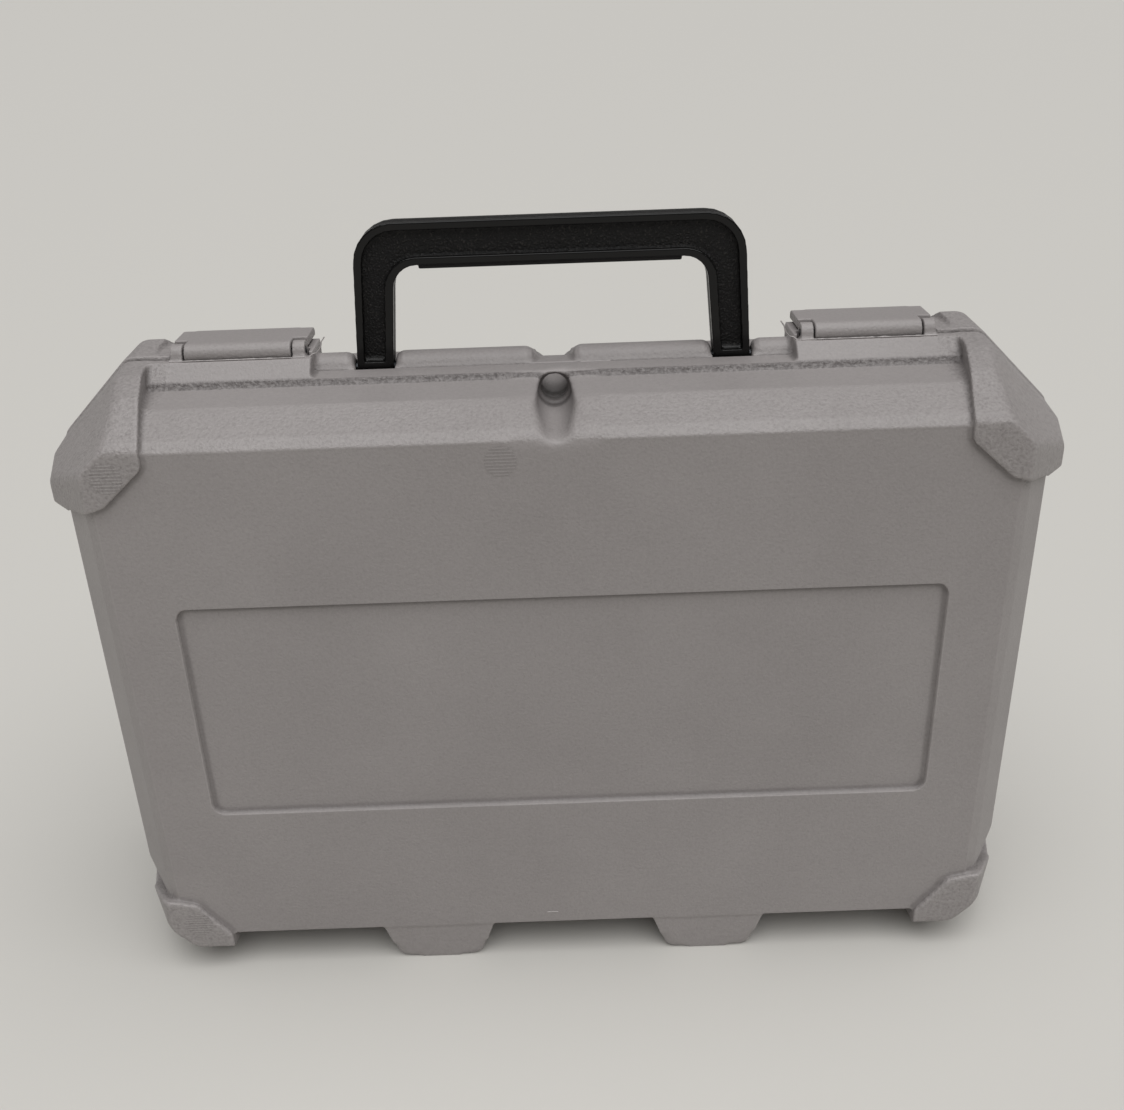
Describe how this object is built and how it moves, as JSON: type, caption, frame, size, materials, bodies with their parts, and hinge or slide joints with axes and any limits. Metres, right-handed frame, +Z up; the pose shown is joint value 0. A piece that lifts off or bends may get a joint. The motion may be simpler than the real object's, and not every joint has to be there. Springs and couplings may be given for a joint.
{
  "type": "rotary tool case",
  "caption": "Blow-moulded two-shell carrying case for a rotary tool kit, with foot hinges, snap latches, padlock eye and swing handle.",
  "frame": {"origin": "centre of the footprint on the floor, on the seam between the shells, with the case standing on its hinge edge", "axes": "+X along the case to the viewer's right, +Y from the front shell to the rear shell, +Z up to the handle"},
  "size_m": [0.337, 0.0944, 0.2655],
  "materials": {
    "case_grey": "grained grey polyethylene",
    "handle_black": "satin black moulded plastic",
    "pin_steel": "plain drawn steel"
  },
  "bodies": {
    "base": {"rear_shell": "case_grey", "hinge_pin_left": "pin_steel", "hinge_pin_right": "pin_steel", "handle_pin_left": "pin_steel", "handle_pin_right": "pin_steel"},
    "lid": {"front_shell": "case_grey", "latch_pin_left": "pin_steel", "latch_pin_right": "pin_steel"},
    "latch_left": {"latch_left": "case_grey"},
    "latch_right": {"latch_right": "case_grey"},
    "handle": {"handle": "handle_black"}
  },
  "joints": [
    {"name": "lid_hinge", "type": "hinge", "parent": "base", "child": "lid", "pos_m": [0, 0, 0.0061], "axis": [1, 0, 0], "range_deg": [0, 180]},
    {"name": "latch_left_hinge", "type": "hinge", "parent": "lid", "child": "latch_left", "pos_m": [-0.1046, 0.001, 0.2252], "axis": [1, 0, 0], "range_deg": [0, 95]},
    {"name": "latch_right_hinge", "type": "hinge", "parent": "lid", "child": "latch_right", "pos_m": [0.1046, 0.001, 0.2252], "axis": [1, 0, 0], "range_deg": [0, 95]},
    {"name": "handle_swing", "type": "hinge", "parent": "base", "child": "handle", "pos_m": [0, 0.006, 0.2172], "axis": [-1, 0, 0], "range_deg": [0, 60]}
  ]
}
